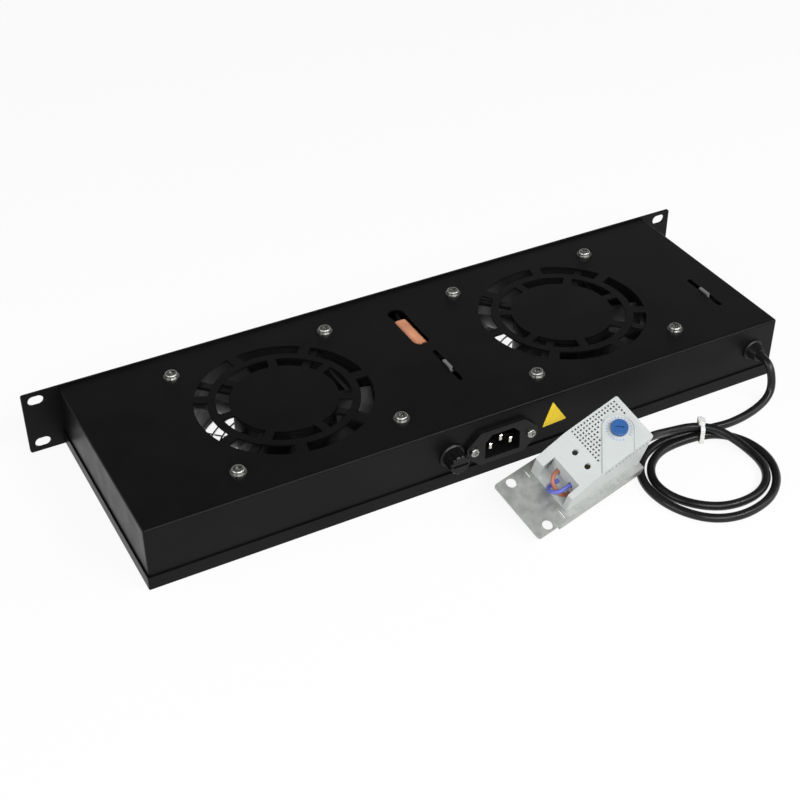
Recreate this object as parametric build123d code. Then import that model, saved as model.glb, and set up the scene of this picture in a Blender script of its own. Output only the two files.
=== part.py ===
from build123d import *
import math
import os

# Rack fan tray: a one-unit, nineteen-inch box with two axial fans, a fused
# mains inlet, and a small thermostat on a lead, lying behind it on the floor.
# Millimetres. The origin is the centre of the four rack slots, in the face of
# the ears that seats on the rack posts. +X runs along the panel to the right
# for someone facing its front, +Y goes back into the rack, and +Z is up.

# Front panel and its slots
panel_width = 482.6
panel_height = 43.6
panel_sheet = 1.5
panel_corner = 1.5
slot_edge_x = 8.75
slot_edge_z = 5.925
slot_width = 6.8
slot_length = 10.0

# Box
ear_reach = 23.3
box_depth = 149.5
roof_below_panel = 0.9
lid_below_panel = 0.2
shell_sheet = 1.2
shell_bend = 1.6
inner_bend = 0.4
front_flange = 11.0
foot_flange = 10.0
lid_sheet = 1.0
lid_lip = 9.3
lid_play = 0.1

# Exhaust grilles in the roof
grille_slots = 7
inner_ring_radius = 37.5
inner_ring_width = 8.0
inner_bridge = 5.5
outer_ring_radius = 50.8
outer_ring_width = 8.4
outer_bridge = 7.0
intake_radius = 62.0

# Fans
fan_centre_x = 100.0
fan_setback = 0.25
fan_size = 119.0
fan_room = 2.7
fan_hole_span = 105.0
fan_hole_radius = 2.25
fan_bore_radius = 57.0
fan_barrel_radius = 59.2
fan_flange = 4.0
fan_corner = 6.0
motor_radius = 32.0
motor_base = 3.0
motor_roof_gap = 0.3
strut_width = 5.0
strut_count = 4
bearing_tube_radius = 6.0
bearing_wall = 1.6
bearing_length = 5.0

# Impeller
hub_radius = 31.5
hub_wall = 2.0
hub_intake_gap = 6.8
hub_base_gap = 1.2
blade_count = 7
blade_tip_gap = 1.5
blade_thickness = 1.6
blade_camber = 4.0
blade_pitch_root = 50.0
blade_pitch_mid = 42.0
blade_pitch_tip = 37.0
shaft_radius = 2.5
shaft_play = 0.05
stator_radius = 24.0
stator_height = 13.0
stator_poles = 4
pole_slot = 5.0

# Finger guards
guard_rings = 7
guard_outer_radius = 55.8
guard_ring_step = 6.5
guard_ring_wire = 1.4
guard_eye_sheet = 1.6
guard_ring_gap = 0.03
guard_leg_wire = 1.3
guard_eye_radius = 3.9
guard_eye_hole = 2.3

# Fan fasteners
fan_screw_radius = 2.0
fan_screw_head = 4.0
fan_screw_head_height = 2.5
fan_washer_radius = 5.0
fan_washer_height = 0.8
fan_washer_hole = 2.15
fan_nut_flats = 7.0
fan_nut_height = 3.2
screw_end = 1.0
guard_screw_head = 4.0
guard_screw_head_height = 1.7
guard_screw_radius = 2.1
guard_screw_length = 8.0
guard_screw_access = 4.8

# Lid fasteners
lid_screw_head = 2.8
lid_screw_radius = 1.25
lid_screw_cone = 1.65
lid_screw_length = 5.5
lid_nut_radius = 3.0
lid_nut_height = 2.6
lid_screw_rear_x = 120.0
lid_screw_side_span = 80.0
hole_play = 0.15

# Mains inlet
inlet_x = -8.6
inlet_z = -0.5
inlet_screw_span = 40.0
inlet_ear_radius = 5.0
inlet_flange_width = 31.0
inlet_flange_height = 24.0
inlet_flange = 3.0
inlet_body_width = 27.5
inlet_body_height = 19.8
inlet_body_depth = 16.5
inlet_cavity_width = 24.4
inlet_cavity_height = 16.8
inlet_cavity_chamfer = 4.5
inlet_wall = 2.0
pin_width = 2.0
pin_height = 4.0
pin_spacing = 7.0
pin_offset = 2.0
pin_recess = 2.0
pin_tab = 6.0
small_screw_radius = 1.5
small_screw_head = 2.9
small_screw_head_height = 1.9
small_nut_flats = 5.5
small_nut_height = 2.4
earth_x = 19.0
earth_rise = 3.1
earth_screw_length = 7.0
inlet_screw_length = 9.0

# Fuse holder
fuse_x = 25.2
fuse_z = 0.0
fuse_rim_radius = 8.4
fuse_rim = 2.0
fuse_barrel_radius = 6.0
fuse_bore_radius = 4.6
fuse_barrel_length = 28.0
fuse_nut_radius = 7.7
fuse_nut_height = 3.0
fuse_radius = 2.6
fuse_length = 20.0
fuse_end_cap = 5.0
cap_radius = 6.6
cap_height = 8.6
cap_gap = 0.3
cap_stem_radius = 4.3
cap_stem_length = 10.0
cap_flutes = 12
cap_flute_radius = 0.8
cap_slot_width = 1.6
cap_slot_depth = 1.4
fuse_tab_length = 5.0
fuse_play = 0.1

# Cord, its bushing and its tie
cord_diameter = 5.4
bushing_edge = 17.5
bushing_z = 3.0
bushing_rim_radius = 7.2
bushing_rim = 2.0
bushing_neck_radius = 6.0
bushing_tail = 6.1
bushing_tail_radius = 4.4
bushing_inner = 6.0
seat_play = 0.05
coil_x = -117.2
coil_behind = 69.0
coil_outer_radius = 42.5
coil_inner_radius = 29.5
coil_height = 9.0
coil_edge = 2.2
tie_angle = 242.5
tie_strap = 1.1
tie_width = 2.6
tie_inner_reach = 31.2
tie_outer_reach = 45.4
tie_height = 12.6
tie_head = 4.2
arc_share = 0.45
lead_points = [
    (-200.5, 157.6, 3.0),
    (-200.5, 167.5, 3.0),
    (-200.2, 175.0, -3.5),
    (-198.6, 178.4, -12.0),
    (-192.6, 179.9, -18.0),
    (-181.0, 181.0, -19.2),
    (-166.0, 183.6, -19.2),
    (-151.0, 184.0, -18.6),
    (-136.2, 182.0, -18.1),
    (-124.0, 180.6, -18.8),
]
tail_points = [
    (-122.0, 182.5, -14.5),
    (-108.0, 186.5, -8.0),
    (-95.0, 191.8, 1.0),
    (-81.45, 196.32, 5.42),
    (-68.17, 198.55, 3.53),
]

# Cable slots in the roof, the splice under the wide one, and the small ties
window_x = -2.5
window_y = 43.0
window_width = 11.0
window_length = 44.0
slit_width = 3.2
slit_length = 15.0
slit_web = 6.0
centre_tie_x = -4.0
centre_tie_y = 92.0
side_tie_edge = 21.5
side_tie_y = 100.5
sleeve_width = 10.4
sleeve_length = 28.0
sleeve_height = 8.6
sleeve_gap = 0.3
sleeve_centre_y = 46.0
fan_lead_diameter = 3.2
supply_lead_diameter = 3.6
web_tie_width = 2.0
web_tie_play = 0.45
grip_play = 1.0
core_diameter = 2.4

# Thermostat: its frame sits on the bracket's top face, at the dial end
thermo_x = -70.4
thermo_behind = 39.3
thermo_z = 2.5
thermo_yaw = 9.5
thermo_pitch = 8.0
thermo_roll = -22.0
thermo_length = 60.0
thermo_width = 33.0
thermo_base_height = 9.0
thermo_high = 30.5
thermo_knee_x = 40.0
thermo_knee = 25.0
thermo_low = 15.5
thermo_wall = 1.6
thermo_corner = 1.2

# Bracket under the thermostat
bracket_sheet = 1.5
bracket_width = 42.0
bracket_start = 1.0
bracket_flange_end = 66.8
bracket_tab = 17.7
bracket_drop = 8.1
bracket_relief = 1.2
bracket_relief_depth = 8.0
bracket_relief_back = 3.5
bracket_hole_radius = 3.25
bracket_hole_span = 33.0
bracket_hole_edge = 10.0
bracket_tab_corner = 2.0
rail_window_start = 12.5
rail_window_end = 47.5
rail_window_width = 24.0
rail_play = 0.2
rail_hook = 1.6

# Dial and its panel
dial_x = 13.2
dial_y = 0.7
dial_radius = 5.25
dial_height = 2.4
dial_gap = 0.3
dial_stem_radius = 2.0
dial_stem_length = 7.0
dial_groove = 1.0
dial_groove_length = 5.4
dial_groove_angle = -40.0
dial_play = 0.05
arch_radius = 9.9
arch_angle = 49.5
arch_height = 0.9
arch_ridge = 1.0
vent_pitch = 2.3
vent_size = 1.2
vent_margin = 2.0
vent_end_x = 36.0
side_vent_start = 3.5
side_vent_count = 13
side_vent_pitch = 2.6
side_vent_width = 1.2
side_vent_height = 2.6
side_vent_drop = 6.0

# Terminals: two metal cages behind a wall with round entries, in an open recess
access_x = 42.4
access_radius = 1.8
terminal_low_y = -3.6
terminal_high_y = 7.4
entry_z = 11.0
entry_radius = 1.8
recess_start = 52.2
recess_wall = 1.4
recess_low_y = -9.5
recess_high_y = 12.8
clamp_back = 2.4
clamp_gap = 0.2
clamp_width = 7.4
clamp_height = 6.0
clamp_bore = 1.3
clamp_screw_radius = 1.6
clamp_screw_height = 2.2
bimetal_start = 8.0
bimetal_length = 30.0
bimetal_width = 9.0
bimetal_sheet = 0.8
bimetal_post = 4.0

# Where the cord enters the thermostat's base, and how its wires run from there
cord_entry_y = 8.0
cord_entry_z = 4.9
cord_entry_play = 0.15
wire_start_x = 4.0
wire_offset = 0.9
wire_stop_x = 46.0
wire_tunnel_play = 0.2
brown_y = 9.4
brown_z = 3.8
blue_y = -1.0
blue_z = 3.4

# Levels and faces that follow from the sizes above
slot_span_x = panel_width - 2 * slot_edge_x
slot_span_z = panel_height - 2 * slot_edge_z
box_width = panel_width - 2 * ear_reach
floor_z = -panel_height / 2 - lid_below_panel
roof_top = panel_height / 2 - roof_below_panel
roof_under = roof_top - shell_sheet
lid_top = floor_z + lid_sheet
wall_foot = lid_top + lid_play
foot_top = wall_foot + shell_sheet
rear_inner = box_depth - shell_sheet
side_inner = box_width / 2 - shell_sheet
fan_centre_y = box_depth / 2 + fan_setback
fan_top = roof_under
fan_bottom = lid_top + fan_room
fan_depth = fan_top - fan_bottom
hub_height = fan_depth - motor_base - hub_base_gap - hub_intake_gap
blade_height = hub_height
earth_z = floor_z + lid_lip + earth_rise
bushing_x = bushing_edge - box_width / 2
side_tie_x = side_tie_edge - box_width / 2
coil_y = box_depth + coil_behind
thermo_y = box_depth + thermo_behind
clamp_end = recess_start - recess_wall - clamp_gap
clamp_floor = thermo_base_height - 1
bracket_end = bracket_flange_end + bracket_tab
face_tilt = math.degrees(math.atan2(thermo_high - thermo_knee, thermo_knee_x))
fan_sides = {"left": 1, "right": -1}
half_span = fan_hole_span / 2
fan_corners = [(a * half_span, b * half_span) for a in (-1, 1) for b in (-1, 1)]

parts = {}


def block(x0, x1, y0, y1, z0, z1):
    """A box between two corners."""
    size = Box(x1 - x0, y1 - y0, z1 - z0)
    return Pos((x0 + x1) / 2, (y0 + y1) / 2, (z0 + z1) / 2) * size


def post(x, y, z0, z1, radius):
    """An upright cylinder."""
    return Pos(x, y, (z0 + z1) / 2) * Cylinder(radius, z1 - z0)


def rod(x, z, y0, y1, radius):
    """A cylinder along Y."""
    return Pos(x, (y0 + y1) / 2, z) * Rot(90, 0, 0) * Cylinder(radius, y1 - y0)


def hexagon(flats, height):
    """An upright hexagonal prism, resting on its own plane."""
    return extrude(RegularPolygon(flats / 2, 6, major_radius=False), height)


def group(solids):
    """Several separate solids kept in one node."""
    return Compound(children=[s.solid() for s in solids])


def routed_path(name, points):
    """Straight runs joined by arcs, each as large as its two runs allow."""
    stops = [Vector(*p) for p in points]
    radii = []
    for before, here, after in zip(stops, stops[1:], stops[2:]):
        run_in = here - before
        run_out = after - here
        turn = math.radians(run_in.get_angle(run_out))
        shorter = min(run_in.length, run_out.length)
        radii.append(arc_share * shorter / math.tan(turn / 2))
    print(name, "radii", [round(r, 1) for r in radii])
    return FilletPolyline(*stops, radius=radii)


def tube(name, points, diameter):
    """A round lead along a route of straight runs and tangent arcs."""
    path = routed_path(name, points)
    section = Plane(origin=path @ 0, z_dir=path % 0) * Circle(diameter / 2)
    solid = sweep(section, path=path)
    ideal = math.pi * diameter ** 2 / 4 * path.length
    print(name, "length", round(path.length, 1), "volume share", round(solid.volume / ideal, 4))
    return solid


# Front panel with two slots in each ear

def front_panel():
    outline = RectangleRounded(panel_width, panel_height, panel_corner)
    plate = extrude(Plane.XZ * outline, panel_sheet)
    slot = extrude(Plane.XZ * SlotOverall(slot_length, slot_width), panel_sheet)
    for a in (-1, 1):
        for b in (-1, 1):
            plate -= Pos(a * slot_span_x / 2, 0, b * slot_span_z / 2) * slot
    return plate


# Folded shell: roof, rear wall, side walls and the turned-in feet

def ring_of_slots(radius, width, bridge, first_angle):
    """Arc slots in a ring, parted by bridges of even width."""
    ring = Circle(radius + width / 2) - Circle(radius - width / 2)
    step = 360 / grille_slots
    for index in range(grille_slots):
        arm = Pos(radius, 0) * Rectangle(2 * width, bridge)
        ring -= Rot(0, 0, first_angle + index * step) * arm
    return ring


def grille_cutter(side):
    """Both rings of slots of one fan, the bridges of one between those of the other."""
    toward_middle = 180 if side > 0 else 0
    rings = ring_of_slots(outer_ring_radius, outer_ring_width, outer_bridge, toward_middle)
    rings += ring_of_slots(inner_ring_radius, inner_ring_width, inner_bridge, toward_middle + 180)
    return extrude(rings, 3 * shell_sheet)


def slit_pair(x, y):
    """Two slits in line along Y, with a web between them for a small tie."""
    cutter = Part()
    for a in (-1, 1):
        middle = y + a * (slit_web + slit_length) / 2
        outline = Rot(0, 0, 90) * SlotOverall(slit_length, slit_width)
        cutter += Pos(x, middle, roof_under - shell_sheet) * extrude(outline, 3 * shell_sheet)
    return cutter


def lid_screw_places():
    places = [(a * lid_screw_rear_x, rear_inner - foot_flange / 2) for a in (-1, 1)]
    for a in (-1, 1):
        for b in (-1, 1):
            y = fan_centre_y + b * lid_screw_side_span / 2
            places.append((a * (side_inner - foot_flange / 2), y))
    return places


def lid_screw(play):
    """A countersunk screw, its head flush with the underside."""
    cone = Cone(lid_screw_head + play, lid_screw_radius + play, lid_screw_cone)
    head = Pos(0, 0, lid_screw_cone / 2) * cone
    shank = post(0, 0, 0, lid_screw_length, lid_screw_radius + play)
    return head + shank


def top_shell():
    half = box_width / 2
    outer = block(-half, half, 0, box_depth, wall_foot, roof_top)
    sharp = outer.edges().filter_by(Axis.Z).group_by(Axis.Y)[-1]
    sharp += outer.faces().sort_by(Axis.Z)[-1].edges().filter_by(Axis.X).group_by(Axis.Y)[-1]
    sharp += outer.faces().sort_by(Axis.Z)[-1].edges().filter_by(Axis.Y)
    outer = fillet(sharp, shell_bend)
    hollow = block(-side_inner, side_inner, -1, rear_inner, foot_top, roof_under)
    corners = hollow.edges().filter_by(Axis.Z).group_by(Axis.Y)[-1]
    hollow = fillet(corners, inner_bend)
    mouth_half = side_inner - foot_flange
    mouth = block(-mouth_half, mouth_half, -1, rear_inner - foot_flange, wall_foot - 1, foot_top)
    shell = outer - hollow - mouth
    shell -= block(-side_inner, side_inner, -1, lid_sheet + lid_play, wall_foot - 1, foot_top)
    shell += block(-side_inner, side_inner, 0, shell_sheet, roof_under - front_flange, roof_under)
    for side in fan_sides.values():
        centre = Pos(side * fan_centre_x, fan_centre_y, 0)
        shell -= centre * Pos(0, 0, roof_under - shell_sheet) * grille_cutter(side)
        for dx, dy in fan_corners:
            shell -= centre * post(dx, dy, roof_under - 1, roof_top + 1, fan_hole_radius)
    window = Rot(0, 0, 90) * SlotOverall(window_length, window_width)
    window = Pos(window_x, window_y, roof_under - shell_sheet) * extrude(window, 3 * shell_sheet)
    shell -= window
    shell -= slit_pair(centre_tie_x, centre_tie_y)
    shell -= slit_pair(side_tie_x, side_tie_y)
    for x, y in lid_screw_places():
        shell -= Pos(x, y, floor_z) * lid_screw(hole_play)
    return shell - rear_cutter()


def rear_cutter():
    """The holes through the rear wall."""
    y0 = rear_inner - 1
    y1 = box_depth + 1
    half_w = inlet_body_width / 2 + hole_play
    half_h = inlet_body_height / 2 + hole_play
    cutter = block(inlet_x - half_w, inlet_x + half_w, y0, y1, inlet_z - half_h, inlet_z + half_h)
    for a in (-1, 1):
        cutter += rod(inlet_x + a * inlet_screw_span / 2, inlet_z, y0, y1, small_screw_radius + hole_play)
    cutter += rod(earth_x, earth_z, y0, y1, small_screw_radius + hole_play)
    cutter += rod(fuse_x, fuse_z, y0, y1, fuse_barrel_radius + hole_play)
    cutter += rod(bushing_x, bushing_z, y0, y1, bushing_neck_radius + seat_play)
    return cutter


# Bottom lid, whose lips wrap the foot of the shell

def bottom_lid():
    half = box_width / 2 + lid_play
    outer_half = half + lid_sheet
    outer_y = box_depth + lid_play + lid_sheet
    tray = block(-outer_half, outer_half, 0, outer_y, floor_z, floor_z + lid_lip)
    upright = tray.edges().filter_by(Axis.Z).group_by(Axis.Y)[-1]
    low = tray.faces().sort_by(Axis.Z)[0].edges()
    low = [e for e in low if e.center().Y > 1]
    tray = fillet([*upright, *low], lid_sheet * 0.9)
    tray -= block(-half, half, lid_sheet, box_depth + lid_play, lid_top, floor_z + lid_lip + 1)
    side_gap = half - side_inner
    for a in (-1, 1):
        x = a * (half - side_gap / 2)
        tray -= block(x - side_gap / 2, x + side_gap / 2, -1, lid_sheet, lid_top, floor_z + lid_lip + 1)
    for side in fan_sides.values():
        centre_x = side * fan_centre_x
        tray -= post(centre_x, fan_centre_y, floor_z - 1, lid_top + 1, intake_radius)
        for dx, dy in fan_corners:
            tray -= post(centre_x + dx, fan_centre_y + dy, floor_z - 1, lid_top + 1, guard_screw_access)
    for x, y in lid_screw_places():
        tray -= Pos(x, y, floor_z) * lid_screw(hole_play)
    return tray


def lid_screws():
    screw = lid_screw(0)
    return group([Pos(x, y, floor_z) * screw for x, y in lid_screw_places()])


def lid_nuts():
    nuts = []
    for x, y in lid_screw_places():
        nut = post(x, y, foot_top, foot_top + lid_nut_height, lid_nut_radius)
        nuts.append(nut - post(x, y, foot_top, foot_top + lid_nut_height, lid_screw_radius))
    return group(nuts)


# Fans

def fan_frame(side):
    """Square frame with a round duct, and the motor carried on struts at the outlet."""
    outline = RectangleRounded(fan_size, fan_size, fan_corner)
    plate = extrude(outline, fan_flange)
    frame = Pos(0, 0, fan_bottom) * plate + Pos(0, 0, fan_top - fan_flange) * plate
    barrel = post(0, 0, fan_bottom, fan_top, fan_barrel_radius)
    frame += barrel
    frame -= post(0, 0, fan_bottom - 1, fan_top + 1, fan_bore_radius)
    for dx, dy in fan_corners:
        frame -= post(dx, dy, fan_bottom - 1, fan_top + 1, fan_hole_radius)
    under = fan_top - motor_base
    frame += post(0, 0, under, fan_top - motor_roof_gap, motor_radius)
    for index in range(strut_count):
        arm = block(motor_radius - 2, fan_bore_radius + 1, -strut_width / 2, strut_width / 2,
                    under, fan_top - 2 * motor_roof_gap)
        frame += Rot(0, 0, 45 + index * 360 / strut_count) * arm
    tube_foot = under - 2 * bearing_length - stator_height / 2
    frame += post(0, 0, tube_foot, under, bearing_tube_radius)
    frame -= post(0, 0, tube_foot - 1, under, bearing_tube_radius - bearing_wall)
    return Pos(side * fan_centre_x, fan_centre_y, 0) * frame


def bearing_places():
    """Foot heights of the two bearings in the tube."""
    under = fan_top - motor_base
    tube_foot = under - 2 * bearing_length - stator_height / 2
    return [tube_foot, under - 1 - bearing_length]


def fan_bearings(side):
    rings = []
    for foot in bearing_places():
        outer = post(0, 0, foot, foot + bearing_length, bearing_tube_radius - bearing_wall)
        inner = post(0, 0, foot, foot + bearing_length, shaft_radius + shaft_play)
        rings.append(Pos(side * fan_centre_x, fan_centre_y, 0) * (outer - inner))
    return group(rings)


def motor_stator(side):
    """Laminated core with pole slots, seated round the bearing tube."""
    top = fan_top - motor_base
    foot = top - stator_height
    core = post(0, 0, foot, top, stator_radius)
    core -= post(0, 0, foot, top, bearing_tube_radius + seat_play)
    for index in range(stator_poles):
        gap = block(stator_radius / 2, stator_radius + 1, -pole_slot / 2, pole_slot / 2, foot, top)
        core -= Rot(0, 0, index * 360 / stator_poles) * gap
    return Pos(side * fan_centre_x, fan_centre_y, 0) * core


def blade_section(distance, pitch):
    """A crescent across the blade, seen along the radius, leaning by its pitch."""
    half = blade_height / 2 / math.sin(math.radians(pitch))
    belly = blade_camber + blade_thickness
    low_arc = ThreePointArc((-half, 0), (0, -belly), (half, 0))
    top_arc = ThreePointArc((half, 0), (0, -blade_camber), (-half, 0))
    crescent = make_face(Curve() + [low_arc, top_arc])
    facing = Plane(origin=(distance, 0, 0), x_dir=(0, 1, 0), z_dir=(1, 0, 0))
    return facing * Rot(0, 0, pitch) * crescent


def blade():
    tip = fan_bore_radius - blade_tip_gap
    sections = [
        blade_section(hub_radius - 3, blade_pitch_root),
        blade_section((hub_radius + tip) / 2, blade_pitch_mid),
        blade_section(tip + 2, blade_pitch_tip),
    ]
    return loft(sections)


def impeller(side):
    """Hub cup, open over the motor, with twisted blades that sweep air upward."""
    foot = fan_top - motor_base - hub_base_gap - hub_height
    top = foot + hub_height
    middle = foot + hub_height / 2
    cup = post(0, 0, foot, top, hub_radius)
    cup = fillet(cup.edges().sort_by(Axis.Z)[0], hub_wall)
    tip = fan_bore_radius - blade_tip_gap
    reach = post(0, 0, foot, top, tip)
    wheel = cup
    one = (Pos(0, 0, middle) * blade()) & reach
    for index in range(blade_count):
        wheel += Rot(0, 0, index * 360 / blade_count) * one
    wheel -= post(0, 0, foot + hub_wall, top + 1, hub_radius - hub_wall)
    boss_top = bearing_places()[0] - 1
    wheel += post(0, 0, foot + hub_wall, boss_top, 2 * shaft_radius)
    wheel -= post(0, 0, foot + hub_wall, boss_top, shaft_radius)
    return Pos(side * fan_centre_x, fan_centre_y, 0) * wheel


def fan_shaft(side):
    foot = fan_top - motor_base - hub_base_gap - hub_height + hub_wall
    top = fan_top - motor_base - 0.5
    return post(side * fan_centre_x, fan_centre_y, foot, top, shaft_radius)


def finger_guard(side):
    """Rings of wire in the intake on four legs, each ending in a flat eye under a fan corner."""
    leg_mid = fan_bottom - guard_eye_sheet / 2
    ring_mid = leg_mid + guard_leg_wire / 2 + guard_ring_gap + guard_ring_wire / 2
    radii = [guard_outer_radius - index * guard_ring_step for index in range(guard_rings)]
    wires = []
    for radius in radii:
        section = Plane.XZ * Pos(radius, ring_mid) * RegularPolygon(guard_ring_wire / 2, 8)
        wires.append(revolve(section, Axis.Z))
    eye_reach = half_span * math.sqrt(2)
    leg_end = eye_reach - guard_eye_hole - 0.6
    leg = Rot(0, 90, 0) * Cylinder(guard_leg_wire / 2, leg_end - radii[-1])
    leg = Pos((leg_end + radii[-1]) / 2, 0, leg_mid) * leg
    leg += post(eye_reach, 0, fan_bottom - guard_eye_sheet, fan_bottom, guard_eye_radius)
    leg -= post(eye_reach, 0, fan_bottom - 2 * guard_eye_sheet, fan_bottom + 1, guard_eye_hole)
    wires += [Rot(0, 0, 45 + index * 90) * leg for index in range(4)]
    return Pos(side * fan_centre_x, fan_centre_y, 0) * group(wires)


def at_fan_corners(piece):
    """Eight copies of a fastener, one at each corner of each fan."""
    copies = []
    for side in fan_sides.values():
        for dx, dy in fan_corners:
            copies.append(Pos(side * fan_centre_x + dx, fan_centre_y + dy, 0) * piece)
    return group(copies)


def cross_recess(size, depth):
    bar = Box(size, size / 4, depth)
    return bar + Rot(0, 0, 90) * bar


def pan_head(radius, height):
    """A pan head resting on its own plane, with a cross recess."""
    head = extrude(Circle(radius), height)
    head = fillet(head.edges().sort_by(Axis.Z)[-1], height * 0.55)
    return head - Pos(0, 0, height) * cross_recess(radius * 1.1, height)


def fan_screw():
    seat = roof_top + fan_washer_height
    end = fan_top - fan_flange - fan_nut_height - screw_end
    head = Pos(0, 0, seat) * pan_head(fan_screw_head, fan_screw_head_height)
    return head + post(0, 0, end, seat, fan_screw_radius)


def fan_washer():
    ring = post(0, 0, roof_top, roof_top + fan_washer_height, fan_washer_radius)
    return ring - post(0, 0, roof_top, roof_top + fan_washer_height, fan_washer_hole)


def fan_nut():
    top = fan_top - fan_flange
    nut = Pos(0, 0, top - fan_nut_height) * hexagon(fan_nut_flats, fan_nut_height)
    return nut - post(0, 0, top - fan_nut_height, top, fan_screw_radius)


def guard_screw():
    seat = fan_bottom - guard_eye_sheet
    head = post(0, 0, seat - guard_screw_head_height, seat, guard_screw_head)
    head = chamfer(head.edges().sort_by(Axis.Z)[0], 0.5)
    head -= Pos(0, 0, seat - guard_screw_head_height) * cross_recess(guard_screw_head, 1.4)
    return head + post(0, 0, seat, seat + guard_screw_length, guard_screw_radius)


# Mains inlet

def inlet_outline():
    """Flange outline: a block between two round screw ears, joined by straight flanks."""
    half_w = inlet_flange_width / 2
    half_h = inlet_flange_height / 2
    reach = inlet_screw_span / 2 + inlet_ear_radius
    ear = inlet_ear_radius
    points = [
        (-half_w, half_h), (half_w, half_h), (reach, ear * 0.6), (reach, -ear * 0.6),
        (half_w, -half_h), (-half_w, -half_h), (-reach, -ear * 0.6), (-reach, ear * 0.6),
    ]
    face = make_face(Polyline(*points, close=True))
    return fillet(face.vertices(), 2.2)


def inlet_cavity(y0, y1):
    """The plug space, with its two upper corners cut off."""
    half_w = inlet_cavity_width / 2
    half_h = inlet_cavity_height / 2
    cut = inlet_cavity_chamfer
    points = [
        (-half_w, -half_h), (half_w, -half_h), (half_w, half_h - cut),
        (half_w - cut, half_h), (-half_w + cut, half_h), (-half_w, half_h - cut),
    ]
    face = make_face(Polyline(*points, close=True))
    return Pos(inlet_x, y1, inlet_z) * extrude(Plane.XZ * face, y1 - y0)


def inlet_housing():
    front = box_depth + inlet_flange
    back = box_depth - inlet_body_depth
    flange = Pos(inlet_x, front, inlet_z) * extrude(Plane.XZ * inlet_outline(), inlet_flange)
    half_w = inlet_body_width / 2
    half_h = inlet_body_height / 2
    body = block(inlet_x - half_w, inlet_x + half_w, back, front, inlet_z - half_h, inlet_z + half_h)
    housing = flange + body
    housing -= inlet_cavity(back + inlet_wall, front + 1)
    for x, z in pin_places():
        housing -= block(x - pin_width / 2, x + pin_width / 2, back - 1, back + inlet_wall + 1,
                         z - pin_height / 2, z + pin_height / 2)
    for a in (-1, 1):
        x = inlet_x + a * inlet_screw_span / 2
        housing -= rod(x, inlet_z, box_depth - 1, front + 1, small_screw_radius + hole_play)
    return housing


def pin_places():
    low = inlet_z - pin_offset
    high = inlet_z + pin_offset
    return [(inlet_x - pin_spacing, low), (inlet_x, high), (inlet_x + pin_spacing, low)]


def inlet_pins():
    front = box_depth + inlet_flange - pin_recess
    back = box_depth - inlet_body_depth - pin_tab
    pins = []
    for x, z in pin_places():
        pin = block(x - pin_width / 2, x + pin_width / 2, back, front,
                    z - pin_height / 2, z + pin_height / 2)
        tip = pin.faces().sort_by(Axis.Y)[-1].edges()
        pins.append(chamfer(tip, 0.5))
    return group(pins)


def rear_screw(x, z, seat, length):
    """A pan-head screw that goes forward into the rear wall."""
    head = pan_head(small_screw_head, small_screw_head_height)
    screw = head + post(0, 0, -length, 0, small_screw_radius)
    return Pos(x, seat, z) * Rot(-90, 0, 0) * screw


def rear_nut(x, z):
    nut = hexagon(small_nut_flats, small_nut_height) - post(0, 0, 0, small_nut_height, small_screw_radius)
    return Pos(x, rear_inner, z) * Rot(90, 0, 0) * nut


def inlet_screws():
    seat = box_depth + inlet_flange
    places = [inlet_x - inlet_screw_span / 2, inlet_x + inlet_screw_span / 2]
    return group([rear_screw(x, inlet_z, seat, inlet_screw_length) for x in places])


def inlet_nuts():
    return group([rear_nut(inlet_x + a * inlet_screw_span / 2, inlet_z) for a in (-1, 1)])


def earth_screw():
    return rear_screw(earth_x, earth_z, box_depth, earth_screw_length)


def earth_nut():
    return rear_nut(earth_x, earth_z)


# Fuse holder, its cap and the fuse that comes out with it

def fuse_holder():
    rim = rod(fuse_x, fuse_z, box_depth, box_depth + fuse_rim, fuse_rim_radius)
    rim = chamfer(rim.edges().sort_by(Axis.Y)[-1], 0.8)
    back = box_depth - fuse_barrel_length
    barrel = rod(fuse_x, fuse_z, back, box_depth, fuse_barrel_radius)
    holder = rim + barrel - rod(fuse_x, fuse_z, back + 2, box_depth + fuse_rim + 1, fuse_bore_radius)
    return holder - fuse_tab()


def fuse_nut():
    y1 = rear_inner
    ring = rod(fuse_x, fuse_z, y1 - fuse_nut_height, y1, fuse_nut_radius)
    return ring - rod(fuse_x, fuse_z, y1 - fuse_nut_height, y1, fuse_barrel_radius)


def fuse_front():
    """Where the outer end of the fuse lies."""
    return box_depth + fuse_rim + cap_gap - 4.5


def fuse_link():
    y1 = fuse_front()
    y0 = y1 - fuse_length
    glass = rod(fuse_x, fuse_z, y0, y1, fuse_radius - 0.25)
    for start in (y0, y1 - fuse_end_cap):
        glass += rod(fuse_x, fuse_z, start, start + fuse_end_cap, fuse_radius)
    return glass


def fuse_tab():
    back = box_depth - fuse_barrel_length
    return block(fuse_x - 1.2, fuse_x + 1.2, back - fuse_tab_length, back + 2, fuse_z - 0.6, fuse_z + 0.6)


def fuse_contact():
    """Sprung contact at the blind end, with the solder tab behind the holder."""
    back = box_depth - fuse_barrel_length
    pad = rod(fuse_x, fuse_z, back + 2, fuse_front() - fuse_length - fuse_play, fuse_radius - 0.6)
    return pad + fuse_tab()


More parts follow.
